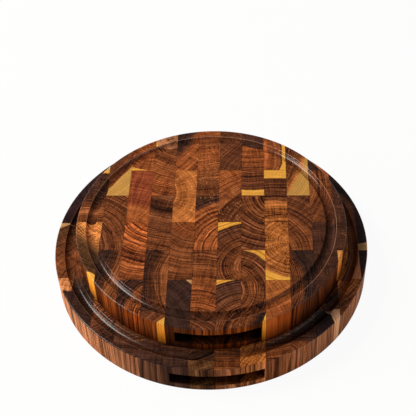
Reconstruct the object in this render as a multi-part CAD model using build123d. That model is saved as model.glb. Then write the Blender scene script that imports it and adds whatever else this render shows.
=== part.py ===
from build123d import *
import os
from math import ceil, floor, sqrt

# Two round end-grain chopping boards, the small one resting on the large one.
# Z is up, the underside of the large board is at Z = 0 and its centre is at X = Y = 0.
# The glued rows of blocks run along Y, and -Y is the front. All lengths are in millimetres.

# Large board
large_diameter = 354
large_thickness = 37
large_row_count = 14
large_left_row_width = 26.6
large_right_row_width = 10.6
large_block_length = 82.7
large_joint_shift = 25.5
large_slot_length = 99
large_slot_roof = 12

# Small board
small_diameter = 300
small_thickness = 34
small_row_count = 12
small_left_row_width = 29.1
small_right_row_width = 12.7
small_block_length = 82.66
small_joint_shift = -2.3
small_slot_length = 89
small_slot_roof = 9

# Where the small board lies on the large one, from centre to centre
stack_shift_right = 1.2
stack_shift_front = 1.9

# Juice groove, cut by one round-nosed cutter in both boards
groove_rim = 11
groove_width = 11.5
groove_depth = 4.6

# Finger slots, cut into the front and back edge of both boards
slot_depth = 16
slot_floor = 8.5
slot_corner_radius = 12
slot_shift_right = 10.5

# Worked edges and glued joints
edge_radius = 1.5
least_block_length = 8

# How far a cutting shape runs past what it cuts
overrun = 5

parts_folder = "parts"


def turned_blank(radius, thickness):
    """The plain round board with its rounded edges and its juice groove."""
    groove_middle = radius - groove_rim - groove_width / 2
    cutter_radius = (groove_width**2 / 4 + groove_depth**2) / (2 * groove_depth)
    section = Rectangle(radius, thickness, align=(Align.MIN, Align.MIN))
    section = fillet(section.vertices().group_by(Axis.X)[-1], edge_radius)
    cutter_height = thickness - groove_depth + cutter_radius
    section -= Pos(groove_middle, cutter_height) * Circle(cutter_radius)
    return revolve(Plane.XZ * section, Axis.Z)


def finger_slot(radius, length, height):
    """The space of the front finger slot: a pocket of even depth with round inner corners."""
    band = Circle(radius + overrun) - Circle(radius - slot_depth)
    reach = radius + overrun
    window = Rectangle(length, reach, align=(Align.CENTER, Align.MAX))
    plan = band & (Pos(slot_shift_right, 0) * window)
    inner_corners = plan.vertices().sort_by_distance((0, 0, 0))[:2]
    plan = fillet(inner_corners, slot_corner_radius)
    return Pos(0, 0, slot_floor) * extrude(plan, height)


def row_joints(radius, row_count, left_row_width, right_row_width):
    """Where the rows are glued: the rows between the two at the rim share its span evenly."""
    inner_span = 2 * radius - left_row_width - right_row_width
    inner_row_width = inner_span / (row_count - 2)
    return [left_row_width - radius + inner_row_width * count for count in range(row_count - 1)]


def block_joints(half_span, block_length, shift):
    """Where the blocks of a row are glued, leaving out joints that would split off a sliver."""
    limit = half_span - least_block_length
    first = ceil((-limit - shift) / block_length)
    last = floor((limit - shift) / block_length)
    return [shift + block_length * count for count in range(first, last + 1)]


def cell(left, right, front, back, height):
    """An upright box between two joints along X and two along Y."""
    corner = (Align.MIN, Align.MIN, Align.MIN)
    return Pos(left, front, 0) * Box(right - left, back - front, height, align=corner)


def row_blocks(board, radius, thickness, left, right, block_length, joint_shift):
    """Saws the row between two joints out of the board, and saws it into its blocks."""
    reach = radius + overrun
    row = board & cell(left, right, -reach, reach, thickness)
    nearest = max(left, -right, 0)
    half_chord = sqrt(radius**2 - nearest**2)
    ends = [-reach] + block_joints(half_chord, block_length, joint_shift) + [reach]
    blocks = []
    for front, back in zip(ends, ends[1:]):
        blocks.extend((row & cell(left, right, front, back, thickness)).solids())
    return blocks


def board_rows(
    diameter, thickness, row_count, left_row_width, right_row_width,
    block_length, joint_shift, slot_length, slot_roof,
):
    """All rows of one board from left to right, each as a list of blocks."""
    radius = diameter / 2
    reach = radius + overrun
    front_slot = finger_slot(radius, slot_length, thickness - slot_floor - slot_roof)
    back_slot = Rot(0, 0, 180) * front_slot
    board = turned_blank(radius, thickness) - front_slot - back_slot
    joints = row_joints(radius, row_count, left_row_width, right_row_width)
    sides = [-reach] + joints + [reach]
    rows = []
    for number, (left, right) in enumerate(zip(sides, sides[1:])):
        staggered = joint_shift + number % 2 * block_length / 2
        rows.append(row_blocks(board, radius, thickness, left, right, block_length, staggered))
    return rows


def write_rows(board_name, rows, place):
    """Writes each row of a board as one file that holds its blocks as separate solids."""
    for number, blocks in enumerate(rows, start=1):
        name = f"{board_name}_row_{number:02d}"
        row = Compound(label=name, children=[place * block for block in blocks])
        export_step(row, os.path.join(parts_folder, f"{name}.step"))
        print(name, len(blocks), "blocks")


os.makedirs(parts_folder, exist_ok=True)

large_rows = board_rows(
    large_diameter, large_thickness, large_row_count, large_left_row_width, large_right_row_width,
    large_block_length, large_joint_shift, large_slot_length, large_slot_roof,
)
small_rows = board_rows(
    small_diameter, small_thickness, small_row_count, small_left_row_width, small_right_row_width,
    small_block_length, small_joint_shift, small_slot_length, small_slot_roof,
)

write_rows("large_board", large_rows, Pos(0, 0, 0))
write_rows("small_board", small_rows, Pos(stack_shift_right, -stack_shift_front, large_thickness))
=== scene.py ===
"""Two round end-grain chopping boards of oiled acacia, the small one lying on the large one.

Each board is worked out as one turned blank and then sawn along its glue lines, so every block is a
closed piece of its own. Sizes are in millimetres and become metres when a mesh is written.
"""
import logging
import math
import random
from dataclasses import dataclass, field
from enum import Enum
from functools import partial
from typing import Callable

import bmesh
import bpy
import numpy as np
from mathutils import Matrix, Vector


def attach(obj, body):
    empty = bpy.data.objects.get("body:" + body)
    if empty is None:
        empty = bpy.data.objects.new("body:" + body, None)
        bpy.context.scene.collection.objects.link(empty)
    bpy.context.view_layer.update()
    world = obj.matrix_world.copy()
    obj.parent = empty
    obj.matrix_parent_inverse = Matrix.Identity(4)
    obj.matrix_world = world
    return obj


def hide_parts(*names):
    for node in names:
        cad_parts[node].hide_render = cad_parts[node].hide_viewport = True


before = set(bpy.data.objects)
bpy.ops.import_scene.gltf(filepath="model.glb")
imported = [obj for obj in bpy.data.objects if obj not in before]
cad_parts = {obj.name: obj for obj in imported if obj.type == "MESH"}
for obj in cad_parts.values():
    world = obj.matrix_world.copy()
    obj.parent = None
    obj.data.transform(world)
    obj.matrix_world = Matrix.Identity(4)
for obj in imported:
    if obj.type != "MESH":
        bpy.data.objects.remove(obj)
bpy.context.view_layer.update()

MM = 0.001

Socket = bpy.types.NodeSocket
Adder = Callable[..., Socket]

log = logging.getLogger("chopping_boards")


class Tone(Enum):
    """Colours of oiled acacia from dark to pale, as sRGB hex."""

    SOOT = "#271513"
    CHARCOAL = "#331d14"
    UMBER = "#442517"
    OLIVE = "#513118"
    WALNUT = "#5b2f17"
    BROWN = "#6e3a1b"
    MAHOGANY = "#78361b"
    RUSSET = "#87451e"
    COPPER = "#9e4f23"
    TAWNY = "#9b5726"
    CARAMEL = "#a75f2a"
    ROSE_BROWN = "#945d3a"
    TERRACOTTA = "#ae6a3c"
    AMBER = "#c87a3c"
    TAN = "#c89763"
    ROSE_TAN = "#da9063"
    OLIVE_SAP = "#cf9a50"
    APRICOT = "#efa356"
    PALE_ROSE = "#ffc296"
    PALE_TAN = "#ecc486"
    SAPWOOD = "#f4b14a"


@dataclass(frozen=True)
class Wood:
    """How one block was cut from its log, and its colours.

    The pith is the middle of the log's rings, in millimetres from the middle of the board. The colour
    goes from near, on the side of the pith, to far, and turns at a share of the way across the block.
    Sapwood starts at a distance of its own from the pith. Rim tells how pale the block's wall is, one
    being the finish's own: partly the long grain's own paleness and partly painted light, paler where lamps
    fall on the wall and darker on the unlit front.
    """

    pith_x: float
    pith_y: float
    near: Tone
    far: Tone
    sap: float = 1000.0
    sap_tone: Tone = Tone.SAPWOOD
    turn: float = 0.5
    soft: float = 0.35
    ring: float = 2.8
    figure: float = 0.6
    flecks: float = 0.0
    rim: float = 1.0


SMALL_WOODS: dict[tuple[int, int], Wood] = {
    (1, 1): Wood(-60, 60, Tone.AMBER, Tone.OLIVE, sap=152, turn=0.36, soft=0.15, figure=0.5),
    (1, 2): Wood(-132, -90, Tone.BROWN, Tone.UMBER, sap=166, turn=0.45, soft=0.2, figure=0.9),
    (1, 3): Wood(-132, -90, Tone.TAN, Tone.TAN, sap=0, sap_tone=Tone.PALE_TAN),
    (2, 1): Wood(-297, -17, Tone.CHARCOAL, Tone.BROWN, turn=0.42, soft=0.2),
    (2, 2): Wood(-156, -42, Tone.WALNUT, Tone.BROWN, ring=3.6, figure=0.9, turn=0.2, soft=0.12),
    (2, 3): Wood(-198, 134, Tone.WALNUT, Tone.COPPER, sap=110, sap_tone=Tone.OLIVE_SAP, soft=0.12),
    (3, 1): Wood(-35, -133, Tone.RUSSET, Tone.UMBER, turn=0.4, soft=0.15, figure=0.8),
    (3, 2): Wood(-57, 15, Tone.COPPER, Tone.RUSSET, ring=4.2, figure=0.9),
    (3, 3): Wood(-99, -28, Tone.RUSSET, Tone.MAHOGANY, turn=0.31, soft=0.05, figure=0.35),
    (3, 4): Wood(-74, 125, Tone.RUSSET, Tone.RUSSET, sap=44, figure=0.8),
    (4, 1): Wood(-100, -80, Tone.WALNUT, Tone.BROWN, sap=78),
    (4, 2): Wood(37, -86, Tone.BROWN, Tone.UMBER, ring=3.4, figure=0.7),
    (4, 3): Wood(4, 206, Tone.WALNUT, Tone.BROWN, turn=0.6, ring=3.8, figure=0.8),
    (4, 4): Wood(-16, 168, Tone.BROWN, Tone.RUSSET, ring=3.4),
    (4, 5): Wood(-20, 150, Tone.ROSE_BROWN, Tone.ROSE_BROWN, sap=53, figure=0.4),
    (5, 1): Wood(-75, -150, Tone.CHARCOAL, Tone.CHARCOAL, sap=82, sap_tone=Tone.TAN, figure=0.4),
    (5, 2): Wood(-15, 7, Tone.RUSSET, Tone.BROWN, turn=0.25, soft=0.1, ring=4.2),
    (5, 3): Wood(-70, 43, Tone.TAWNY, Tone.TAWNY, ring=4.6, figure=0.4),
    (5, 4): Wood(-135, 176, Tone.CHARCOAL, Tone.RUSSET, turn=0.42, soft=0.1, ring=4.0, figure=0.6),
    (6, 1): Wood(-60, -220, Tone.WALNUT, Tone.WALNUT),
    (6, 2): Wood(-17, -163, Tone.RUSSET, Tone.BROWN, ring=4.4, figure=0.7),
    (6, 3): Wood(33, -42, Tone.RUSSET, Tone.UMBER, turn=0.69, soft=0.05, ring=4.0, figure=0.8, flecks=0.2),
    (6, 4): Wood(-22, 218, Tone.RUSSET, Tone.BROWN, ring=4.0, figure=0.7, flecks=0.3),
    (6, 5): Wood(-22, 218, Tone.RUSSET, Tone.BROWN, figure=0.5),
    (7, 1): Wood(43, -149, Tone.BROWN, Tone.UMBER, sap=66, ring=3.2, figure=0.9),
    (7, 2): Wood(48, -68, Tone.BROWN, Tone.UMBER, sap=65, turn=0.6, ring=3.6, figure=0.9),
    (7, 3): Wood(80, -20, Tone.WALNUT, Tone.RUSSET, ring=5.0, figure=0.5, flecks=0.2),
    (7, 4): Wood(151, 21, Tone.WALNUT, Tone.WALNUT, ring=3.0, figure=0.5),
    (8, 1): Wood(-20, -115, Tone.BROWN, Tone.CHARCOAL, sap=80.8, turn=0.6, soft=0.1),
    (8, 2): Wood(17, -100, Tone.BROWN, Tone.UMBER, sap=59, turn=0.7, ring=3.6, figure=0.9),
    (8, 3): Wood(75, 38, Tone.BROWN, Tone.WALNUT, ring=4.4, figure=0.9, flecks=0.1),
    (8, 4): Wood(50, 190, Tone.RUSSET, Tone.WALNUT, sap=142, ring=4.6, figure=0.7),
    (8, 5): Wood(50, 230, Tone.UMBER, Tone.UMBER, figure=0.4),
    (9, 1): Wood(40, -40, Tone.TAWNY, Tone.RUSSET, figure=0.4),
    (9, 2): Wood(92, -31, Tone.CARAMEL, Tone.BROWN, sap=50, turn=0.75, soft=0.2, ring=3.4, figure=0.6),
    (9, 3): Wood(74, -60, Tone.TAWNY, Tone.WALNUT, sap=128, turn=0.4, soft=0.08, ring=3.4, figure=0.8),
    (9, 4): Wood(-23, 106, Tone.RUSSET, Tone.BROWN, sap=105, figure=0.5),
    (10, 1): Wood(20, -90, Tone.BROWN, Tone.CHARCOAL, turn=0.36, soft=0.15, figure=0.9),
    (10, 2): Wood(47, -47, Tone.BROWN, Tone.WALNUT, ring=4.0, figure=0.6),
    (10, 3): Wood(-86, 146, Tone.WALNUT, Tone.TAWNY, sap=200, sap_tone=Tone.OLIVE_SAP, turn=0.4, figure=0.7),
    (11, 1): Wood(60, -60, Tone.CHARCOAL, Tone.UMBER, figure=0.8),
    (11, 2): Wood(110, 200, Tone.UMBER, Tone.UMBER, ring=4.0, figure=0.4),
    (11, 3): Wood(30, 60, Tone.BROWN, Tone.WALNUT, ring=4.0, figure=0.6),
    (11, 4): Wood(30, 60, Tone.CHARCOAL, Tone.CHARCOAL, figure=0.3),
    (12, 1): Wood(60, 60, Tone.AMBER, Tone.AMBER, sap=0, sap_tone=Tone.APRICOT),
    (12, 2): Wood(150, 120, Tone.UMBER, Tone.UMBER, figure=0.5, flecks=0.1),
    (12, 3): Wood(60, 60, Tone.UMBER, Tone.UMBER, figure=0.3),
}

# The rim values are partly painted light: walls at the lit left and right sides are made paler, and the
# unlit front walls darker.
LARGE_WOODS: dict[tuple[int, int], Wood] = {
    (1, 1): Wood(-150, 20, Tone.TERRACOTTA, Tone.CHARCOAL, turn=0.5, soft=0.03, figure=0.3, rim=2),
    (1, 2): Wood(-123, -68, Tone.BROWN, Tone.OLIVE, sap=100, sap_tone=Tone.TAN, turn=0.6),
    (1, 3): Wood(-110, -40, Tone.SOOT, Tone.SOOT, figure=0.3),
    (2, 1): Wood(-90, -20, Tone.CHARCOAL, Tone.CHARCOAL, figure=0.5, rim=2),
    (2, 2): Wood(-140, 60, Tone.BROWN, Tone.CHARCOAL, turn=0.48, soft=0.1, figure=0.6),
    (2, 3): Wood(-300, 20, Tone.CARAMEL, Tone.BROWN, figure=0.5),
    (2, 4): Wood(-110, -40, Tone.SOOT, Tone.CHARCOAL, figure=0.4),
    (3, 1): Wood(-160, -60, Tone.BROWN, Tone.UMBER, ring=3.0, figure=0.9, rim=2),
    (3, 4): Wood(-110, -40, Tone.SOOT, Tone.SOOT, figure=0.3),
    (4, 1): Wood(-60, 40, Tone.WALNUT, Tone.UMBER, figure=0.6, rim=1.2),
    (5, 1): Wood(-40, 60, Tone.UMBER, Tone.CHARCOAL, figure=0.6, rim=0.4),
    (5, 2): Wood(-40, 60, Tone.BROWN, Tone.OLIVE, figure=0.5),
    (6, 1): Wood(-30, 0, Tone.UMBER, Tone.CHARCOAL, turn=0.74, soft=0.04, figure=0.5, rim=0.1),
    (7, 1): Wood(-60, -20, Tone.UMBER, Tone.OLIVE, figure=0.8, rim=0.2),
    (8, 1): Wood(20, 0, Tone.WALNUT, Tone.BROWN, turn=0.6, soft=0.06, figure=0.7, rim=0.8),
    (9, 1): Wood(-60, -90, Tone.CARAMEL, Tone.CARAMEL, figure=0.6, rim=0.8),
    (10, 1): Wood(40, 0, Tone.BROWN, Tone.BROWN, figure=0.7, rim=0.4),
    (11, 1): Wood(160, -60, Tone.BROWN, Tone.BROWN, figure=0.8, rim=0.9),
    (11, 2): Wood(100, 0, Tone.UMBER, Tone.UMBER, figure=0.6),
    (12, 1): Wood(90, -130, Tone.SOOT, Tone.SOOT, sap=46.5, sap_tone=Tone.PALE_ROSE, rim=1.6),
    (12, 2): Wood(60, -20, Tone.BROWN, Tone.WALNUT, figure=0.7),
    (13, 1): Wood(90, -20, Tone.CARAMEL, Tone.BROWN, turn=0.6, soft=0.1, figure=0.8, rim=1.5),
    (13, 2): Wood(16, 4, Tone.CARAMEL, Tone.BROWN, sap=151.6, sap_tone=Tone.ROSE_TAN, soft=0.1),
    (13, 3): Wood(90, 20, Tone.BROWN, Tone.SOOT, turn=0.55, soft=0.15, figure=0.5),
    (14, 1): Wood(60, -20, Tone.SOOT, Tone.SOOT, figure=0.3, rim=1.3),
    (14, 2): Wood(150, 60, Tone.SOOT, Tone.SOOT, sap=69, sap_tone=Tone.TAN, figure=0.3),
}

# Blocks that the tables leave out lie under the small board or at the back, and draw their tones here.
DRAWN_TONES = (Tone.UMBER, Tone.WALNUT, Tone.BROWN, Tone.MAHOGANY, Tone.RUSSET, Tone.COPPER, Tone.CARAMEL)


def linear(colour: str) -> tuple[float, float, float, float]:
    """Turns an sRGB hex colour to linear light.

    Args:
        colour: The colour as #rrggbb.

    Returns:
        Linear red, green and blue, and an alpha of 1.
    """
    shares = [int(colour[start:start + 2], 16) / 255 for start in (1, 3, 5)]
    light = [share / 12.92 if share <= 0.04045 else ((share + 0.055) / 1.055) ** 2.4 for share in shares]
    return (light[0], light[1], light[2], 1.0)


def add_node(
    tree: bpy.types.NodeTree,
    kind: str,
    *values: object,
    inputs: dict[int | str, object] | None = None,
    output: int = 0,
    **settings: object,
) -> Socket:
    """Adds one shader node with its settings, values and links.

    Args:
        tree: The node tree that takes the node.
        kind: The node's type name without ShaderNode.
        values: What goes into the first inputs, in order: a value, or a socket to link.
        inputs: The same for inputs by number or name.
        output: The number of the output to hand back.
        settings: The node's own properties.

    Returns:
        The chosen output socket.
    """
    node = tree.nodes.new("ShaderNode" + kind)
    for name, value in settings.items():
        setattr(node, name, value)
    for name, value in {**dict(enumerate(values)), **(inputs or {})}.items():
        if isinstance(value, Socket):
            tree.links.new(value, node.inputs[name])
        else:
            node.inputs[name].default_value = value
    return node.outputs[output]


@dataclass(frozen=True)
class RingPlace:
    """Where a point of the wood lies in its log, as sockets.

    Lengths are in millimetres. Along is the point for fibre noise, radial runs from the pith to the point.
    """

    millimetres: Socket
    along: Socket
    radial: Socket
    distance: Socket
    seed: Socket


@dataclass(frozen=True)
class OiledAcacia:
    """Acacia sawn across the grain, sanded and oiled.

    The fibres stand upright, so the pattern is nearly the same at every height: rings and fine rays on
    top, straight streaks down the rim. Oil soaks deep into the open end grain and dries to a thin film
    over it: the wood looks a saturated brown, with crisp highlights in the grooves. The long grain of the
    rim drinks less, has no film, and stays matt and a little paler; how pale each block's wall is drawn is
    partly painted light.

    Each shade is what a colour is multiplied by in red, green and blue. Each share tells how strongly a
    noise, less its middle, lightens or darkens the heartwood.
    """

    name: str
    rim_colour: str
    rim_share: float
    rim_shade: tuple[float, float, float]
    roughness: float = 0.6
    gloss: float = 0.02
    oil_film: float = 0.5
    oil_roughness: float = 0.18
    lean: float = 0.08
    fibre_stretch: float = 0.03
    wander_mm: float = 30.0
    wander_depth_mm: float = 5.0
    ripple_mm: float = 6.0
    ripple_depth_mm: float = 1.6
    blotch_mm: float = 11.0
    # Real pores are 0.1 to 0.3 mm wide and real rays finer still: both are drawn coarser, to show.
    pore_spacing_mm: float = 2.2
    ray_spacing_mm: float = 1.7
    streak_mm: float = 1.9
    grain_mm: float = 1.2
    # A real glue line is about 0.1 mm wide, and is drawn wider for the same reason.
    glue_mm: float = 0.35
    glue_share: float = 0.6
    fleck_colour: str = "#d98f4b"
    # The pinkish white of the painted highlight along the groove's outer edge.
    edge_highlight_colour: str = "#e8b89a"
    late_wood_shade: tuple[float, float, float] = (0.24, 0.17, 0.15)
    pale_line_shade: tuple[float, float, float] = (2.3, 2.1, 1.9)
    pore_shade: tuple[float, float, float] = (0.35, 0.3, 0.3)
    sap_ring_shade: tuple[float, float, float] = (0.66, 0.55, 0.36)
    glue_shade: tuple[float, float, float] = (0.3, 0.26, 0.26)
    # What the painted shade in the slots and at the foot, and the oil and painted shade in the groove,
    # multiply the colour by.
    oil_and_painted_shade_dimming: tuple[float, float, float] = (0.1, 0.05, 0.04)
    # Places across a ring from its inside to its outside, each with how much late wood it has.
    late_wood: tuple[tuple[float, float], ...] = ((0.3, 0.05), (0.65, 0.6), (0.88, 1.0))
    ring_stretch: float = 3.0
    ring_stretch_per_mm: float = 0.09
    bands_per_mm: float = 0.055
    base_shade: float = 1.5
    least_shade: float = 0.14
    band_share: float = 3.2
    streak_share: float = 4.4
    ring_share: float = 0.9
    blotch_share: float = 1.8
    ray_share: float = 2.4
    grain_share: float = 3.0
    bump_strength: float = 0.2
    bump_mm: float = 0.1

    def material(self) -> bpy.types.Material:
        """Builds the wood's material, which reads each block's pith, colours and borders from its mesh.

        Returns:
            The material.
        """
        material = bpy.data.materials.new(self.name)
        material.use_nodes = True
        tree = material.node_tree
        tree.nodes.clear()
        add = partial(add_node, tree)

        place = self.ring_place(add)
        figure = add("SeparateXYZ", add("Attribute", attribute_name="figure", output=1))
        flecks, wall_paleness_and_light = figure.node.outputs[1], figure.node.outputs[2]
        facing = add("SeparateXYZ", add("NewGeometry", output=1), output=2)
        upright = add("Math", facing, operation="ABSOLUTE")
        rim = add("MapRange", upright, 0.5, 0.15, interpolation_type="SMOOTHSTEP")
        grain = add("TexNoise", inputs={
            "Vector": place.along, "Scale": 1 / self.grain_mm, "Detail": 3.0, "Roughness": 0.65,
        })
        blotch = add("TexNoise", inputs={"Vector": place.along, "Scale": 1 / self.blotch_mm, "Detail": 3.0})
        # The figure fades and comes back within a block.
        patchy = add("MapRange", blotch, 0.36, 0.64, 0.7, 1.7)
        figure = add("Math", figure, patchy, operation="MULTIPLY")
        dark_line, pale_line, ring_shade = self.rings(add, place, figure)
        heart, shades = self.heartwood(add, place, figure, grain, blotch, ring_shade)

        # The rim is long grain: it drinks less oil, so it stays duller than the end grain on top, and paler.
        # Each block's share of that pale colour is also painted light: walls where the lamps fall are made
        # paler, the unlit front ones darker.
        long_grain = add("VectorMath", linear(self.rim_colour)[:3], shades, operation="MULTIPLY")
        share = add("Math", rim, self.rim_share, operation="MULTIPLY")
        share = add("Math", share, wall_paleness_and_light, operation="MULTIPLY")
        heart = add("Mix", share, inputs={6: heart, 7: long_grain}, output=2, data_type="RGBA")
        heart = self.dimmed(add, heart, dark_line, self.late_wood_shade)
        heart = self.dimmed(add, heart, pale_line, self.pale_line_shade)
        heart, pore = self.pores(add, place, heart, blotch, flecks)
        wood = self.sapwood(add, place, heart, dark_line, grain, blotch)

        wood = self.dimmed(add, wood, rim, self.rim_shade)
        wood = self.dimmed(add, wood, self.glue_line(add, place), self.glue_shade)

        # The groove, the slots and the foot of the wall are darkened: painted shade where less light
        # reaches, and in the groove partly also oil that gathers there.
        oil_and_painted_shade = add("Attribute", attribute_name="oil_and_painted_shade", output=2)
        wood = self.dimmed(add, wood, oil_and_painted_shade, self.oil_and_painted_shade_dimming)

        # Painted highlight: a pale line along the groove's eased outer edge stands in for the lamps' thin
        # reflection there.
        painted_edge_highlight = add("Attribute", attribute_name="painted_edge_highlight", output=2)
        wood = add("Mix", painted_edge_highlight, inputs={6: wood, 7: linear(self.edge_highlight_colour)}, output=2, data_type="RGBA")

        roughness = add("Math", grain, 0.12, self.roughness - 0.06, operation="MULTIPLY_ADD")
        film = add("Math", rim, -self.oil_film, self.oil_film, operation="MULTIPLY_ADD")
        relief = add("Math", grain, 0.4, operation="MULTIPLY")
        relief = add("Math", pore, -0.6, relief, operation="MULTIPLY_ADD")
        relief = add("Math", dark_line, -0.3, relief, operation="MULTIPLY_ADD")
        bump = add("Bump", inputs={
            "Height": relief, "Strength": self.bump_strength, "Distance": self.bump_mm * MM,
        })
        shader = add("BsdfPrincipled", inputs={
            "Base Color": wood, "Roughness": roughness, "Normal": bump, "IOR": 1.5,
            "Specular IOR Level": self.gloss, "Coat Weight": film, "Coat Roughness": self.oil_roughness,
        })
        tree.links.new(shader, tree.nodes.new("ShaderNodeOutputMaterial").inputs[0])
        return material

    def ring_place(self, add: Adder) -> RingPlace:
        """Works out where each point lies in its log.

        Radial is the point's plan place less the pith, moved a little by two noises, one slow and one
        quick. The fibres lean by a small amount that each block's seed draws.

        Args:
            add: Adds a node to the material.

        Returns:
            The point's places.
        """
        millimetres = add("VectorMath", add("TexCoord", output=3), inputs={3: 1 / MM}, operation="SCALE")
        pith = add("Attribute", attribute_name="pith", output=1)
        seed = add("Attribute", attribute_name="seed", output=2)
        from_pith = add("VectorMath", millimetres, pith, operation="SUBTRACT")
        depth = add("SeparateXYZ", from_pith, output=2)
        lean = add("TexWhiteNoise", inputs={"W": seed}, noise_dimensions="1D", output=1)
        lean = add("VectorMath", lean, (0.5, 0.5, 0.5), operation="SUBTRACT")
        lean = add("VectorMath", lean, (self.lean, self.lean, 0.0), operation="MULTIPLY")
        lean = add("VectorMath", lean, inputs={3: depth}, operation="SCALE")
        plan = add("VectorMath", from_pith, (1.0, 1.0, 0.0), lean, operation="MULTIPLY_ADD")
        shift = add("VectorMath", (37.1, 91.7, 0.0), inputs={3: seed}, operation="SCALE")
        shift = add("VectorMath", shift, lean, operation="ADD")
        stretch = (1.0, 1.0, self.fibre_stretch)
        along = add("VectorMath", millimetres, stretch, shift, operation="MULTIPLY_ADD")
        radial = plan
        for size, reach, detail in (
            (self.wander_mm, self.wander_depth_mm, 1.0), (self.ripple_mm, self.ripple_depth_mm, 2.0),
        ):
            noise = add("TexNoise", inputs={"Vector": along, "Scale": 1 / size, "Detail": detail}, output=1)
            noise = add("VectorMath", noise, (0.5, 0.5, 0.5), operation="SUBTRACT")
            radial = add("VectorMath", noise, (reach, reach, 0.0), radial, operation="MULTIPLY_ADD")
        distance = add("VectorMath", radial, operation="LENGTH", output=1)
        return RingPlace(millimetres, along, radial, distance, seed)

    def rings(self, add: Adder, place: RingPlace, figure: Socket) -> tuple[Socket, Socket, Socket]:
        """Draws the growth rings.

        The distance from the pith is counted in ring widths, stretched by a slow noise so that no two
        rings are alike. Its fraction gives the place in a ring, dark towards the end, and its whole part
        draws how strong the ring is.

        Args:
            add: Adds a node to the material.
            place: The point's places in the log.
            figure: How strong the block's figure is.

        Returns:
            How much of the dark late wood, how much of a pale line, and the ring's own shade from -0.5
            to 0.5.
        """
        ring_width = add("SeparateXYZ", add("Attribute", attribute_name="turn", output=1), output=2)
        own = add("Math", place.seed, 13.7, operation="MULTIPLY")
        slow = add("Math", place.distance, self.ring_stretch_per_mm, own, operation="MULTIPLY_ADD")
        slow = add("TexNoise", inputs={"W": slow, "Scale": 1.0, "Detail": 1.0}, noise_dimensions="1D")
        count = add("Math", place.distance, ring_width, operation="DIVIDE")
        count = add("Math", slow, self.ring_stretch, count, operation="MULTIPLY_ADD")
        across = add("Math", count, operation="FRACT")
        number = add("Math", add("Math", count, operation="FLOOR"), own, operation="ADD")
        draw = add("TexWhiteNoise", inputs={"W": number}, noise_dimensions="1D", output=1)
        strength = add("SeparateXYZ", draw)
        luck, shade = strength.node.outputs[1], strength.node.outputs[2]

        profile = add("ValToRGB", across)
        ramp = profile.node.color_ramp
        ramp.interpolation = "EASE"
        for position, level in self.late_wood:
            ramp.elements.new(position).color = (level, level, level, 1.0)
        ramp.elements[0].color = ramp.elements[-1].color = (0.0, 0.0, 0.0, 1.0)
        strength = add("Math", strength, 1.3, 0.25, operation="MULTIPLY_ADD")
        strength = add("Math", strength, figure, operation="MULTIPLY")
        dark_line = add("Math", profile, strength, operation="MULTIPLY", use_clamp=True)

        pale_line = add("MapRange", across, 0.32, 0.02, interpolation_type="SMOOTHSTEP")
        chosen = add("Math", luck, 0.7, operation="GREATER_THAN")
        chosen = add("Math", chosen, 0.45, operation="MULTIPLY")
        pale_line = add("Math", pale_line, chosen, operation="MULTIPLY")
        pale_line = add("Math", pale_line, figure, operation="MULTIPLY")
        return dark_line, pale_line, add("Math", shade, 0.5, operation="SUBTRACT")

    def heartwood(
        self, add: Adder, place: RingPlace, figure: Socket, grain: Socket, blotch: Socket,
        ring_shade: Socket,
    ) -> tuple[Socket, Socket]:
        """Colours the heartwood.

        The colour goes smoothly from near to far at the block's turn. Its shade is the base shade plus
        shares of broad radial bands, streaks along the rings, the ring's own shade, blotches, rays that
        run out from the pith, and grain.

        Args:
            add: Adds a node to the material.
            place: The point's places in the log.
            figure: How strong the block's figure is.
            grain: Fine noise.
            blotch: Broad noise.
            ring_shade: The ring's own shade.

        Returns:
            The heartwood's colour, and its shade in red, green and blue.
        """
        turn = add("SeparateXYZ", add("Attribute", attribute_name="turn", output=1))
        soft = turn.node.outputs[1]
        near_edge = add("SeparateXYZ", add("Attribute", attribute_name="span", output=1))
        far_edge = near_edge.node.outputs[1]
        way = add("MapRange", place.distance, near_edge, far_edge, clamp=False)
        way = add("Math", blotch, soft, way, operation="MULTIPLY_ADD")
        start = add("Math", soft, -0.5, turn, operation="MULTIPLY_ADD")
        end = add("Math", soft, 1.5, turn, operation="MULTIPLY_ADD")
        turned = add("MapRange", way, start, end, interpolation_type="SMOOTHSTEP")
        colour = add("Mix", turned, inputs={
            6: add("Attribute", attribute_name="near"), 7: add("Attribute", attribute_name="far"),
        }, output=2, data_type="RGBA")

        own = add("Math", place.seed, 7.9, operation="MULTIPLY")
        band = add("Math", place.distance, self.bands_per_mm, own, operation="MULTIPLY_ADD")
        band = add("TexNoise", inputs={
            "W": band, "Scale": 1.0, "Detail": 3.0, "Roughness": 0.6,
        }, noise_dimensions="1D")
        east = add("SeparateXYZ", place.radial)
        bearing = add("Math", east.node.outputs[1], east, operation="ARCTAN2")
        middle = add("Math", near_edge, far_edge, operation="ADD")
        along_ring = add("Math", bearing, middle, operation="MULTIPLY")
        ray_place = add(
            "CombineXYZ",
            add("Math", along_ring, 0.5 / self.ray_spacing_mm, operation="MULTIPLY"),
            add("Math", place.distance, 0.07 / self.ray_spacing_mm, operation="MULTIPLY"),
            place.seed,
        )
        ray = add("TexNoise", inputs={"Vector": ray_place, "Scale": 1.0, "Detail": 1.0})
        streak_place = add(
            "CombineXYZ",
            add("Math", place.distance, 1 / self.streak_mm, operation="MULTIPLY"),
            add("Math", along_ring, 0.04 / self.streak_mm, operation="MULTIPLY"),
            place.seed,
        )
        streak = add("TexNoise", inputs={
            "Vector": streak_place, "Scale": 1.0, "Detail": 3.0, "Roughness": 0.7,
        })

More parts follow.
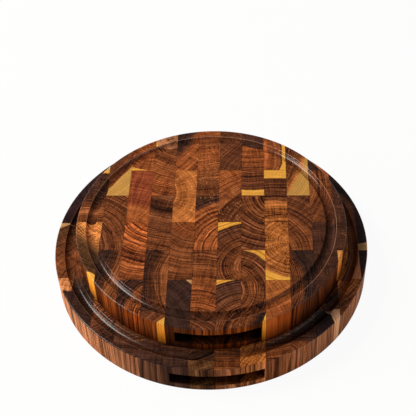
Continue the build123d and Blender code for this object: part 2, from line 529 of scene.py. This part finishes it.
        band, streak, blotch, ray, grain = (
            add("Math", noise, 0.5, operation="SUBTRACT") for noise in (band, streak, blotch, ray, grain)
        )
        band, streak, ring_shade = (
            add("Math", part, figure, operation="MULTIPLY") for part in (band, streak, ring_shade)
        )
        shade = self.base_shade
        for part, share in (
            (band, self.band_share), (streak, self.streak_share), (ring_shade, self.ring_share),
            (blotch, self.blotch_share), (ray, self.ray_share), (grain, self.grain_share),
        ):
            shade = add("Math", part, share, shade, operation="MULTIPLY_ADD")
        shade = add("Math", shade, self.least_shade, operation="MAXIMUM")
        # Where the wood is dark it is redder too, so green and blue fall off faster than red.
        shades = add(
            "CombineXYZ", shade, add("Math", shade, 1.15, operation="POWER"),
            add("Math", shade, 1.35, operation="POWER"),
        )
        return add("VectorMath", colour, shades, operation="MULTIPLY"), shades

    def pores(
        self, add: Adder, place: RingPlace, heart: Socket, blotch: Socket, flecks: Socket,
    ) -> tuple[Socket, Socket]:
        """Sets open pores into the heartwood: round cells of a Voronoi pattern, some of them pale.

        Args:
            add: Adds a node to the material.
            place: The point's places in the log.
            heart: The heartwood's colour.
            blotch: Broad noise.
            flecks: How many pores are filled with pale gum.

        Returns:
            The colour with pores, and how much of a pore each point is.
        """
        cell = add("TexVoronoi", inputs={"Vector": place.along, "Scale": 1 / self.pore_spacing_mm})
        draw = add("SeparateXYZ", cell.node.outputs[1])
        pore = add("MapRange", cell, 0.34, 0.14, interpolation_type="SMOOTHSTEP")
        pore = add("Math", pore, add("Math", draw, 0.45, operation="GREATER_THAN"), operation="MULTIPLY")
        pale = add("Math", add("Math", blotch, flecks, operation="ADD"), 0.72, operation="GREATER_THAN")
        pale = add("Math", pale, pore, operation="MULTIPLY")
        dark = add("Math", pore, 0.8, operation="MULTIPLY")
        heart = self.dimmed(add, heart, dark, self.pore_shade)
        gum = linear(self.fleck_colour)
        heart = add("Mix", pale, inputs={6: heart, 7: gum}, output=2, data_type="RGBA")
        return heart, pore

    def sapwood(
        self, add: Adder, place: RingPlace, heart: Socket, dark_line: Socket, grain: Socket,
        blotch: Socket,
    ) -> Socket:
        """Puts the sapwood round the heartwood, with a crisp edge and faint rings.

        Args:
            add: Adds a node to the material.
            place: The point's places in the log.
            heart: The heartwood's colour.
            dark_line: How much of the dark late wood.
            grain: Fine noise.
            blotch: Broad noise.

        Returns:
            The colour of the wood.
        """
        shade = add("Math", blotch, 0.6, 0.1, operation="MULTIPLY_ADD")
        shade = add("Math", grain, 1.2, shade, operation="MULTIPLY_ADD")
        sap = add("Attribute", attribute_name="sap")
        sap = add("VectorMath", sap, inputs={3: shade}, operation="SCALE")
        sap = self.dimmed(add, sap, dark_line, self.sap_ring_shade)
        edge = add("SeparateXYZ", add("Attribute", attribute_name="span", output=1), output=2)
        beyond = add("Math", place.distance, edge, operation="SUBTRACT")
        share = add("MapRange", beyond, -0.3, 0.3, interpolation_type="SMOOTHSTEP")
        return add("Mix", share, inputs={6: heart, 7: sap}, output=2, data_type="RGBA")

    def glue_line(self, add: Adder, place: RingPlace) -> Socket:
        """Finds the glue line: the least plan distance to a side of the block's cell, as a share of dark.

        Args:
            add: Adds a node to the material.
            place: The point's places in the log.

        Returns:
            How much of a glue line each point is.
        """
        low = add("Attribute", attribute_name="cell_low", output=1)
        high = add("Attribute", attribute_name="cell_high", output=1)
        low = add("VectorMath", place.millimetres, low, operation="SUBTRACT")
        high = add("VectorMath", high, place.millimetres, operation="SUBTRACT")
        inset = add("SeparateXYZ", add("VectorMath", low, high, operation="MINIMUM"))
        inset = add("Math", inset, inset.node.outputs[1], operation="MINIMUM")
        line = add("MapRange", inset, self.glue_mm, self.glue_mm / 3, interpolation_type="SMOOTHSTEP")
        return add("Math", line, self.glue_share, operation="MULTIPLY")

    def dimmed(
        self, add: Adder, colour: Socket, share: Socket, shade: tuple[float, float, float],
    ) -> Socket:
        """Multiplies a colour by a shade where share is one, and leaves it where share is nought.

        Args:
            add: Adds a node to the material.
            colour: The colour.
            share: How far it is changed.
            shade: What red, green and blue are multiplied by.

        Returns:
            The changed colour.
        """
        changed = add("VectorMath", colour, shade, operation="MULTIPLY")
        return add("Mix", share, inputs={6: colour, 7: changed}, output=2, data_type="RGBA")


def arc(middle: tuple[float, float], radius: float, start: float, end: float, steps: int) -> np.ndarray:
    """Works out an arc: the middle plus the radius times cosine and sine of evenly spaced angles.

    Args:
        middle: The arc's middle.
        radius: The arc's radius.
        start: The first angle in degrees.
        end: The last angle in degrees.
        steps: The number of steps between them.

    Returns:
        The points, one a row.
    """
    angles = np.radians(np.linspace(start, end, steps + 1))
    return np.column_stack([middle[0] + radius * np.cos(angles), middle[1] + radius * np.sin(angles)])


def grid_faces(numbers: np.ndarray) -> np.ndarray:
    """Joins a grid of point numbers into faces of four, each row of the grid above the one before.

    Args:
        numbers: The point numbers, one row of points a row.

    Returns:
        The faces, one a row.
    """
    here, beside = numbers[:-1, :-1], numbers[:-1, 1:]
    above_beside, above = numbers[1:, 1:], numbers[1:, :-1]
    return np.stack([here, beside, above_beside, above], axis=-1).reshape(-1, 4)


@dataclass(frozen=True)
class EdgeWork:
    """How the edges of both boards are worked, in millimetres.

    Edge highlight depth is a share of the easing: there the groove's outer edge takes its painted highlight.
    The slot's painted shade rate tells how many times faster the painted shade in a slot grows than its
    depth, counted from slot_mouth inside the wall. Slack is how far past its own heights a hollow is looked
    for, and wall_slack how far off the wall a point may be and still lie on it.
    """

    edge_radius: float = 1.5
    groove_rim: float = 11.0
    groove_width: float = 11.5
    groove_depth: float = 4.6
    groove_easing: float = 0.8
    edge_highlight_depth: float = 0.3
    edge_highlight_share: float = 0.5
    slot_depth: float = 16.0
    slot_floor: float = 8.5
    slot_corner_radius: float = 12.0
    slot_shift_right: float = 10.5
    slot_easing: float = 0.6
    slot_easing_steps: int = 3
    slot_painted_shade_rate: float = 5.0
    slot_mouth: float = 0.5
    slack: float = 0.1
    wall_slack: float = 0.01
    sharp_slot_degrees: float = 30.0
    sharp_row_degrees: float = 50.0
    angle_step: float = 0.9
    edge_steps: int = 6
    groove_steps: int = 24
    corner_steps: int = 10
    least_block_length: float = 8.0
    overrun: float = 5.0


@dataclass
class RoundBoard:
    """One round board of glued end-grain blocks, in millimetres.

    Middle is the centre of its underside. The groove's oil and painted shade tells how dark the groove's
    bottom is made, partly by oil and partly by painted shade, and the foot's painted shade how dark the foot
    of the wall is painted, from 0 to 1. The woods are told by row and block, from one.
    """

    name: str
    middle: tuple[float, float, float]
    diameter: float
    thickness: float
    row_count: int
    left_row_width: float
    right_row_width: float
    block_length: float
    joint_shift: float
    slot_length: float
    slot_roof: float
    groove_oil_and_painted_shade: float
    foot_painted_shade: float
    woods: dict[tuple[int, int], Wood]
    seed: int
    work: EdgeWork = field(default_factory=EdgeWork)

    @property
    def radius(self) -> float:
        """The board's radius."""
        return self.diameter / 2

    def profile(self) -> tuple[np.ndarray, int]:
        """Works out the section that is turned: underside edge, wall, rim and juice groove.

        The groove is an arc of the cutter, whose middle stands above the top. Each of its two edges is
        eased by a small arc that touches both the top and the cutter's arc.

        Returns:
            The points as distance from the middle and height, and the number of the slot floor's point.
        """
        work, radius, top = self.work, self.radius, self.thickness
        edge, easing = work.edge_radius, work.groove_easing
        cutter = (work.groove_width**2 / 4 + work.groove_depth**2) / (2 * work.groove_depth)
        above = cutter - work.groove_depth
        groove_middle = radius - work.groove_rim - work.groove_width / 2
        reach = math.sqrt((cutter + easing) ** 2 - (above + easing) ** 2)
        tilt = math.degrees(math.atan2(above + easing, reach))
        lower = arc((radius - edge, edge), edge, -90, 0, work.edge_steps)
        slot = np.array([[radius, work.slot_floor], [radius, top - self.slot_roof]])
        upper = arc((radius - edge, top - edge), edge, 0, 90, work.edge_steps)
        outer = arc((groove_middle + reach, top - easing), easing, 90, 180 - tilt, work.edge_steps)
        groove = arc((groove_middle, top + above), cutter, -tilt, tilt - 180, work.groove_steps)
        inner = arc((groove_middle - reach, top - easing), easing, tilt, 90, work.edge_steps)
        return np.vstack([lower, slot, upper, outer, groove[1:-1], inner]), len(lower)

    def slot_ends(self) -> tuple[float, float]:
        """The front slot's left and right end, from the middle of the board."""
        half = self.slot_length / 2
        return self.work.slot_shift_right - half, self.work.slot_shift_right + half

    def turning_angles(self) -> tuple[np.ndarray, int]:
        """Works out the angles at which the profile is turned, in radians.

        They start at the left corner of the front slot, and the corners of both slots are among them.

        Returns:
            The angles once round, and the number of steps across one slot.
        """
        left, right = (math.degrees(math.asin(end / self.radius)) - 90 for end in self.slot_ends())
        slot_steps = round((right - left) / self.work.angle_step)
        side_steps = round((left + 180 - right) / self.work.angle_step)
        across = np.linspace(left, right, slot_steps, endpoint=False)
        between = np.linspace(right, left + 180, side_steps, endpoint=False)
        half_turn = np.concatenate([across, between])
        return np.radians(np.concatenate([half_turn, half_turn + 180])), slot_steps

    def slot_plan(self, steps: int) -> np.ndarray:
        """Works out the inner outline of the front slot in plan.

        It runs from the left corner straight in, round a corner arc, along an arc about the middle of
        the board, round the other corner arc and straight out.

        Args:
            steps: The number of steps along it.

        Returns:
            The points, one more than the steps.
        """
        work, (left, right) = self.work, self.slot_ends()
        corner, back = work.slot_corner_radius, self.radius - work.slot_depth
        turns = []
        for x in (left + corner, right - corner):
            y = -math.sqrt((back + corner) ** 2 - x**2)
            turns.append((x, y, math.degrees(math.atan2(-y, -x))))
        (left_x, left_y, left_angle), (right_x, right_y, right_angle) = turns
        mouth = [[end, -math.sqrt(self.radius**2 - end**2)] for end in (left, right)]
        along_steps = steps - 2 * work.corner_steps - 2
        return np.vstack([
            mouth[0],
            arc((left_x, left_y), corner, 180, left_angle, work.corner_steps),
            arc((0, 0), back, left_angle - 180, right_angle - 180, along_steps)[1:-1],
            arc((right_x, right_y), corner, right_angle, 0, work.corner_steps),
            mouth[1],
        ])

    def blank(self) -> bmesh.types.BMesh:
        """Builds the turned, grooved and slotted board as one closed mesh.

        The profile is turned through every angle: distance times cosine, distance times sine, height.
        The wall is left open at the two slots. Each slot is a strip from the mouth's lower edge over the
        slot's floor, its wall and its roof to the mouth's upper edge, and the back one is the front one
        turned by half a turn.

        Returns:
            The mesh in metres, where the board lies.
        """
        profile, floor_row = self.profile()
        angles, slot_steps = self.turning_angles()
        distance, height = profile[:, :1], profile[:, 1:]
        turned = np.stack([
            distance * np.cos(angles), distance * np.sin(angles), height + np.zeros_like(angles),
        ], axis=-1)
        numbers = np.arange(turned[..., 0].size).reshape(turned.shape[:2])
        faces = grid_faces(np.hstack([numbers, numbers[:, :1]])).reshape(len(profile) - 1, len(angles), 4)
        half = len(angles) // 2
        kept = np.ones(faces.shape[:2], dtype=bool)
        kept[floor_row, :slot_steps] = kept[floor_row, half:half + slot_steps] = False

        plan = self.slot_plan(slot_steps)
        mouth = self.radius * np.column_stack([np.cos(angles), np.sin(angles)])[:slot_steps + 1]
        low, high = profile[floor_row, 1], profile[floor_row + 1, 1]
        strip = np.stack([
            np.column_stack([outline, np.full(slot_steps + 1, level)])
            for outline, level in ((mouth, low), (plan, low), (plan, high), (mouth, high))
        ])
        strips = np.stack([strip, strip * (-1, -1, 1)])
        strip_numbers = np.arange(strip[..., 0].size).reshape(strip.shape[:2])

        points = np.concatenate([turned.reshape(-1, 3), strips.reshape(-1, 3)])
        points = (points + self.middle) * MM
        quads = [faces[kept]]
        quads += [grid_faces(strip_numbers) + numbers.size + strip_numbers.size * turn for turn in (0, 1)]
        caps = [numbers[0, ::-1].tolist(), numbers[-1].tolist()]
        mesh = bpy.data.meshes.new(self.name)
        mesh.from_pydata(points, [], np.concatenate(quads).tolist() + caps)
        blank = bmesh.new()
        blank.from_mesh(mesh)
        bpy.data.meshes.remove(mesh)
        bmesh.ops.remove_doubles(blank, verts=blank.verts, dist=MM / 1000)
        self.ease_slots(blank, low, high)
        return blank

    def ease_slots(self, blank: bmesh.types.BMesh, low: float, high: float) -> None:
        """Rounds the edges of both slots where they come out of the wall.

        Args:
            blank: The board.
            low: The height of the slot's floor above the underside.
            high: The height of its roof.
        """
        x, y, z = self.middle
        sharp, near = math.radians(self.work.sharp_slot_degrees), self.work.wall_slack
        edges = []
        for edge in blank.edges:
            at_wall = all(
                abs(math.hypot(vert.co.x / MM - x, vert.co.y / MM - y) - self.radius) < near
                and low - near < vert.co.z / MM - z < high + near for vert in edge.verts
            )
            if at_wall and edge.calc_face_angle(0) > sharp:
                edges.append(edge)
        bmesh.ops.bevel(
            blank, geom=edges, offset=self.work.slot_easing * MM, segments=self.work.slot_easing_steps,
            profile=0.5, affect="EDGES", clamp_overlap=True,
        )

    def row_joints(self) -> list[float]:
        """Works out where the rows are glued: between the two at the rim, all are equally wide.

        Returns:
            The joints from left to right.
        """
        inner_width = (self.diameter - self.left_row_width - self.right_row_width) / (self.row_count - 2)
        first = self.left_row_width - self.radius
        return [first + inner_width * count for count in range(self.row_count - 1)]

    def block_joints(self, row: int, left: float, right: float) -> list[float]:
        """Works out where the blocks of a row are glued, leaving out joints that would leave a sliver.

        Args:
            row: The row's number, counted from nought.
            left: The row's left side.
            right: The row's right side.

        Returns:
            The joints from front to back.
        """
        shift = self.joint_shift + row % 2 * self.block_length / 2
        nearest = max(left, -right, 0)
        limit = math.sqrt(self.radius**2 - nearest**2) - self.work.least_block_length
        first = math.ceil((-limit - shift) / self.block_length)
        last = math.floor((limit - shift) / self.block_length)
        return [shift + self.block_length * count for count in range(first, last + 1)]

    def sawn(self, whole: bmesh.types.BMesh, axis: int, low: float, high: float) -> bmesh.types.BMesh:
        """Saws out what lies between two upright planes and closes the cuts.

        Args:
            whole: The closed mesh to saw.
            axis: 0 for planes across X, 1 for planes across Y.
            low: The lower plane, in millimetres from the middle of the board.
            high: The upper plane.

        Returns:
            The piece between the planes, as a closed mesh.
        """
        piece = whole.copy()
        for limit, side in ((low, -1), (high, 1)):
            if abs(limit) > self.radius:
                continue
            place, normal = Vector(), Vector()
            place[axis], normal[axis] = (self.middle[axis] + limit) * MM, side
            cut = bmesh.ops.bisect_plane(
                piece, geom=piece.verts[:] + piece.edges[:] + piece.faces[:], dist=MM / 10000,
                plane_co=place, plane_no=normal, clear_outer=True,
            )["geom_cut"]
            edges = [part for part in cut if isinstance(part, bmesh.types.BMEdge)]
            for edge in edges:
                edge.smooth = False
            bmesh.ops.triangle_fill(piece, use_beauty=True, use_dissolve=False, edges=edges, normal=normal)
        bmesh.ops.recalc_face_normals(piece, faces=piece.faces)
        return piece

    def wood_of(self, row: int, block: int, luck: random.Random) -> Wood:
        """Gives a block its wood: from the table, or drawn for a block that the table leaves out.

        Args:
            row: The row's number, counted from one.
            block: The block's number in its row, counted from one at the front.
            luck: The draw, which goes on alike for every block, in the table or not.

        Returns:
            The block's wood.
        """
        drawn = Wood(
            luck.uniform(-160, 160), luck.uniform(-160, 160), luck.choice(DRAWN_TONES),
            luck.choice(DRAWN_TONES), ring=luck.uniform(2.6, 4.6), figure=luck.uniform(0.4, 0.8),
        )
        return self.woods.get((row, block), drawn)

    def block_values(
        self, wood: Wood, cell: tuple[float, float, float, float], seed: float, points: np.ndarray,
    ) -> dict[str, list[float]]:
        """Works out what the finish reads from a block's mesh.

        Args:
            wood: The block's wood.
            cell: The left, right, front and back side of the block's cell, from the board's middle.
            seed: A number of the block's own.
            points: The block's points in metres.

        Returns:
            Values by name, the same for every point of the block.
        """
        x, y, z = self.middle
        left, right, front, back = cell
        pith = np.array([x + wood.pith_x, y + wood.pith_y])
        nearest = np.clip([wood.pith_x, wood.pith_y], [left, front], [right, back])
        near_edge = float(np.hypot(*(nearest - (wood.pith_x, wood.pith_y))))
        far_edge = float(np.hypot(*(points[:, :2] / MM - pith).T).max())
        return {
            "pith": [pith[0], pith[1], z + self.thickness],
            "figure": [wood.figure, wood.flecks, wood.rim],
            "span": [near_edge, far_edge, wood.sap],
            "turn": [wood.turn, wood.soft, wood.ring],
            "cell_low": [x + left, y + front, z],
            "cell_high": [x + right, y + back, z],
            "near": list(linear(wood.near.value)),
            "far": list(linear(wood.far.value)),
            "sap": list(linear(wood.sap_tone.value)),
            "seed": [seed],
        }

    def oil_and_painted_shade(self, points: np.ndarray) -> np.ndarray:
        """Works out how dark each point is painted, from 0 to 1: painted shade in the slots and at the foot
        of the wall, and in the groove partly oil and partly painted shade.

        In the groove it grows from nought at the top to groove_oil_and_painted_shade at the bottom, and in a
        slot it is slot_painted_shade_rate times the distance in from the mouth as a share of the slot's
        depth.
        Down the wall it grows from nought at the slot's roof to foot_painted_shade at the underside.

        Args:
            points: The points in metres.

        Returns:
            A share for each point.
        """
        x, y, z = (points / MM - self.middle).T
        work, from_middle = self.work, np.hypot(x, y)
        outer = self.radius - work.groove_rim + work.groove_easing
        inner = self.radius - work.groove_rim - work.groove_width - work.groove_easing
        grooved = (from_middle > inner) & (from_middle < outer)
        grooved &= z > self.thickness - work.groove_depth - work.slack
        depth = np.where(grooved, self.groove_oil_and_painted_shade * (self.thickness - z) / work.groove_depth, 0.0)
        roof = self.thickness - self.slot_roof
        slotted = (z > work.slot_floor - work.slack) & (z < roof + work.slack)
        inward = (self.radius - work.slot_mouth - from_middle) / work.slot_depth
        inward = np.where(slotted, work.slot_painted_shade_rate * inward, 0.0)
        walled = from_middle > self.radius - work.edge_radius
        foot = np.where(walled, self.foot_painted_shade * (1 - z / roof), 0.0)
        return np.clip(np.maximum(np.maximum(depth, inward), foot), 0.0, 1.0)

    def painted_edge_highlight(self, points: np.ndarray) -> np.ndarray:
        """Works out how much painted highlight each point of the groove's eased outer edge takes, from 0 to
        edge_highlight_share.

        It is most at edge_highlight_depth under the top, as a share of the easing, and nought at the top
        itself.

        Args:
            points: The points in metres.

        Returns:
            A share for each point.
        """
        x, y, z = (points / MM - self.middle).T
        work, from_middle = self.work, np.hypot(x, y)
        outer = self.radius - work.groove_rim
        near = np.abs(from_middle - outer) < work.groove_easing
        depth = (self.thickness - z) / work.groove_easing
        share = work.edge_highlight_share * np.clip(1 - np.abs(depth / work.edge_highlight_depth - 1), 0.0, 1.0)
        return np.where(near, share, 0.0)

    def row_piece(
        self, number: int, row: bmesh.types.BMesh, left: float, right: float, luck: random.Random,
    ) -> bpy.types.Object:
        """Saws one row into its blocks and writes them into one object, with each block's values.

        Args:
            number: The row's number, counted from one.
            row: The row as one closed mesh.
            left: Its left side.
            right: Its right side.
            luck: The draw for blocks that the table leaves out.

        Returns:
            The object.
        """
        reach = self.radius + self.work.overrun
        ends = [-reach] + self.block_joints(number - 1, left, right) + [reach]
        together = bmesh.new()
        values, counts = [], []
        for block, (front, back) in enumerate(zip(ends, ends[1:]), start=1):
            piece = self.sawn(row, 1, front, back)
            part = bpy.data.meshes.new("block")
            piece.to_mesh(part)
            piece.free()
            points = np.empty(len(part.vertices) * 3)
            part.vertices.foreach_get("co", points)
            wood = self.wood_of(number, block, luck)
            seed = luck.uniform(1.0, 40.0)
            values.append(self.block_values(wood, (left, right, front, back), seed, points.reshape(-1, 3)))
            counts.append(len(part.vertices))
            together.from_mesh(part)
            bpy.data.meshes.remove(part)
        open_edges = sum(1 for edge in together.edges if not edge.is_manifold)
        mesh = bpy.data.meshes.new(f"{self.name}_blocks_{number:02d}")
        together.to_mesh(mesh)
        together.free()
        points = np.empty(len(mesh.vertices) * 3)
        mesh.vertices.foreach_get("co", points)
        for name, shares in (("oil_and_painted_shade", self.oil_and_painted_shade), ("painted_edge_highlight", self.painted_edge_highlight)):
            layer = mesh.attributes.new(name, "FLOAT", "POINT")
            layer.data.foreach_set("value", shares(points.reshape(-1, 3)))
        kinds = {1: ("FLOAT", "value"), 3: ("FLOAT_VECTOR", "vector"), 4: ("FLOAT_COLOR", "color")}
        for name, first in values[0].items():
            kind, field_name = kinds[len(first)]
            table = np.repeat([block[name] for block in values], counts, axis=0)
            mesh.attributes.new(name, kind, "POINT").data.foreach_set(field_name, table.ravel())
        piece = bpy.data.objects.new(mesh.name, mesh)
        bpy.context.scene.collection.objects.link(piece)
        log.info(
            "%s: %d blocks, %d faces, %d open edges",
            piece.name, len(values), len(mesh.polygons), open_edges,
        )
        return piece

    def finish(self, piece: bpy.types.Object, material: bpy.types.Material) -> None:
        """Smooths a row's round surfaces, leaves its sawn edges sharp and gives it its finish.

        Args:
            piece: The row.
            material: Its finish.
        """
        mesh = piece.data
        mesh.shade_smooth()
        cut = np.empty(len(mesh.edges), dtype=bool)
        sharp = mesh.attributes["sharp_edge"].data if "sharp_edge" in mesh.attributes else None
        if sharp:
            sharp.foreach_get("value", cut)
        mesh.set_sharp_from_angle(angle=math.radians(self.work.sharp_row_degrees))
        if sharp:
            by_angle = np.empty(len(mesh.edges), dtype=bool)
            sharp = mesh.attributes["sharp_edge"].data
            sharp.foreach_get("value", by_angle)
            sharp.foreach_set("value", cut | by_angle)
        mesh.materials.append(material)
        weighted = piece.modifiers.new("even_normals", "WEIGHTED_NORMAL")
        weighted.keep_sharp = True
        weighted.mode = "FACE_AREA"

    def build(self, material: bpy.types.Material, slot: str) -> None:
        """Builds every row of the board and hands it to the frame.

        Args:
            material: The board's finish.
            slot: The record's material slot; not used.
        """
        blank = self.blank()
        luck = random.Random(self.seed)
        reach = self.radius + self.work.overrun
        sides = [-reach] + self.row_joints() + [reach]
        for number, (left, right) in enumerate(zip(sides, sides[1:]), start=1):
            row = self.sawn(blank, 0, left, right)
            piece = self.row_piece(number, row, left, right, luck)
            row.free()
            self.finish(piece, material)
            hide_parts(f"{self.name}_row_{number:02d}")
            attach(piece, self.name)
        blank.free()


@dataclass(frozen=True)
class PhotoCamera:
    """The camera where the photograph was taken from: place in millimetres, turns in radians."""

    place: tuple[float, float, float] = (42.715, -723.737, 847.358)
    yaw: float = -0.06089
    pitch: float = 0.80767
    roll: float = -0.0444
    focal_pixels: float = 953.2
    frame_pixels: float = 416.0
    sensor_mm: float = 36.0

    def build(self) -> None:
        """Sets up the camera: it looks forward by yaw and pitch, and is rolled about that direction."""
        forward = Vector((
            math.sin(self.yaw) * math.cos(self.pitch), math.cos(self.yaw) * math.cos(self.pitch),
            -math.sin(self.pitch),
        ))
        level = Vector((math.cos(self.yaw), -math.sin(self.yaw), 0.0))
        upward = level.cross(forward)
        right = level * math.cos(self.roll) + upward * math.sin(self.roll)
        up = upward * math.cos(self.roll) - level * math.sin(self.roll)
        data = bpy.data.cameras.new("camera")
        data.sensor_width = self.sensor_mm
        data.lens = self.focal_pixels / self.frame_pixels * self.sensor_mm
        camera = bpy.data.objects.new("camera", data)
        camera.matrix_world = Matrix.LocRotScale(
            Vector(self.place) * MM, Matrix((right, up, -forward)).transposed(), None
        )
        bpy.context.scene.collection.objects.link(camera)
        bpy.context.scene.camera = camera


@dataclass(frozen=True)
class Softbox:
    """A studio lamp that points at the boards, with its place, width and height in metres.

    Without a height it is square.
    """

    name: str
    place: tuple[float, float, float]
    width: float
    watts: float
    colour: str = "#ffffff"
    height: float | None = None

    def build(self) -> None:
        """Hangs the lamp and turns it to the boards."""
        data = bpy.data.lights.new(self.name, "AREA")
        data.shape = "RECTANGLE"
        data.size, data.size_y = self.width, self.height or self.width
        data.energy = self.watts
        data.color = linear(self.colour)[:3]
        lamp = bpy.data.objects.new(self.name, data)
        lamp.location = self.place
        lamp.rotation_euler = Vector(self.place).to_track_quat("Z", "Y").to_euler()
        bpy.context.scene.collection.objects.link(lamp)


@dataclass(frozen=True)
class Studio:
    """A plain white floor, a white background and soft light.

    The key light comes from the upper left, the others stand low. Floor lift is how far the floor that
    the camera sees goes to pure white, room light how bright the room is for the boards.
    """

    floor_half_width: float = 6.0
    floor_colour: str = "#f4f4f4"
    floor_lift: float = 0.94
    room_light: float = 0.13
    softboxes: tuple[Softbox, ...] = (
        Softbox("key_softbox", (-1.65, 0.3, 2.05), 1.1, 59.0, "#fff8ec"),
        Softbox("left_softbox", (-2.2, -0.4, 0.9), 0.9, 16.0),
        Softbox("back_softbox", (-1.0, 2.4, 0.75), 2.6, 7.0, height=0.5),
        Softbox("right_softbox", (2.3, -1.3, 0.45), 1.8, 12.0, height=0.7),
    )

    def build(self) -> None:
        """Builds the floor, the room's light and the lamps."""
        self.floor()
        self.room()
        for softbox in self.softboxes:
            softbox.build()

    def floor(self) -> None:
        """Lays the floor: matt white, lifted towards pure white for the camera, so the shadow stays."""
        mesh = bpy.data.meshes.new("studio_floor")
        corners = np.array([[-1, -1, 0], [1, -1, 0], [1, 1, 0], [-1, 1, 0]]) * self.floor_half_width
        mesh.from_pydata(corners, [], [[0, 1, 2, 3]])
        floor = bpy.data.objects.new("studio_floor", mesh)
        bpy.context.scene.collection.objects.link(floor)
        material = bpy.data.materials.new("matt_white_floor")
        material.use_nodes = True
        tree = material.node_tree
        tree.nodes.clear()
        matt = add_node(tree, "BsdfDiffuse", linear(self.floor_colour))
        white = add_node(tree, "Emission", (1.0, 1.0, 1.0, 1.0), 1.0)
        paths = add_node(tree, "LightPath")
        seen = add_node(tree, "Math", paths, paths.node.outputs[3], operation="MAXIMUM")
        lift = add_node(tree, "Math", seen, self.floor_lift, operation="MULTIPLY")
        shader = add_node(tree, "MixShader", lift, matt, white)
        tree.links.new(shader, tree.nodes.new("ShaderNodeOutputMaterial").inputs[0])
        mesh.materials.append(material)

    def room(self) -> None:
        """Lights the room evenly, and shows it white to the camera."""
        world = bpy.data.worlds.new("studio_room")
        world.use_nodes = True
        tree = world.node_tree
        tree.nodes.clear()
        paths = add_node(tree, "LightPath")
        strength = add_node(tree, "MapRange", paths, 0.0, 1.0, self.room_light, 1.0)
        background = add_node(tree, "Background", (1.0, 1.0, 1.0, 1.0), strength)
        tree.links.new(background, tree.nodes.new("ShaderNodeOutputWorld").inputs[0])
        bpy.context.scene.world = world


def main() -> None:
    """Builds the two boards, the camera and the studio."""
    logging.basicConfig(level=logging.INFO, format="%(message)s")
    small_thickness, large_thickness = 34.0, 37.0
    large_board = RoundBoard(
        name="large_board", middle=(0.0, 0.0, 0.0), diameter=354.0, thickness=large_thickness, row_count=14,
        left_row_width=26.6, right_row_width=10.6, block_length=82.7, joint_shift=25.5, slot_length=99.0,
        slot_roof=12.0, groove_oil_and_painted_shade=0.4, foot_painted_shade=0.0, woods=LARGE_WOODS, seed=11,
    )
    small_board = RoundBoard(
        name="small_board", middle=(1.2, -1.9, large_thickness), diameter=300.0, thickness=small_thickness,
        row_count=12, left_row_width=29.1, right_row_width=12.7, block_length=82.66, joint_shift=-2.3,
        slot_length=89.0, slot_roof=9.0, groove_oil_and_painted_shade=0.3, foot_painted_shade=0.8, woods=SMALL_WOODS, seed=23,
    )
    large_finish = OiledAcacia(
        name="large_board_acacia", rim_colour="#b0714a", rim_share=0.45, rim_shade=(1.0, 0.95, 0.9),
    )
    small_finish = OiledAcacia(
        name="small_board_acacia", rim_colour="#96501f", rim_share=0.1, rim_shade=(1.3, 0.98, 0.6),
    )
    large_board.build(large_finish.material(), large_finish.name)
    small_board.build(small_finish.material(), small_finish.name)
    PhotoCamera().build()
    Studio().build()
    bpy.context.scene.view_settings.view_transform = "Standard"


if __name__ == "__main__":
    main()
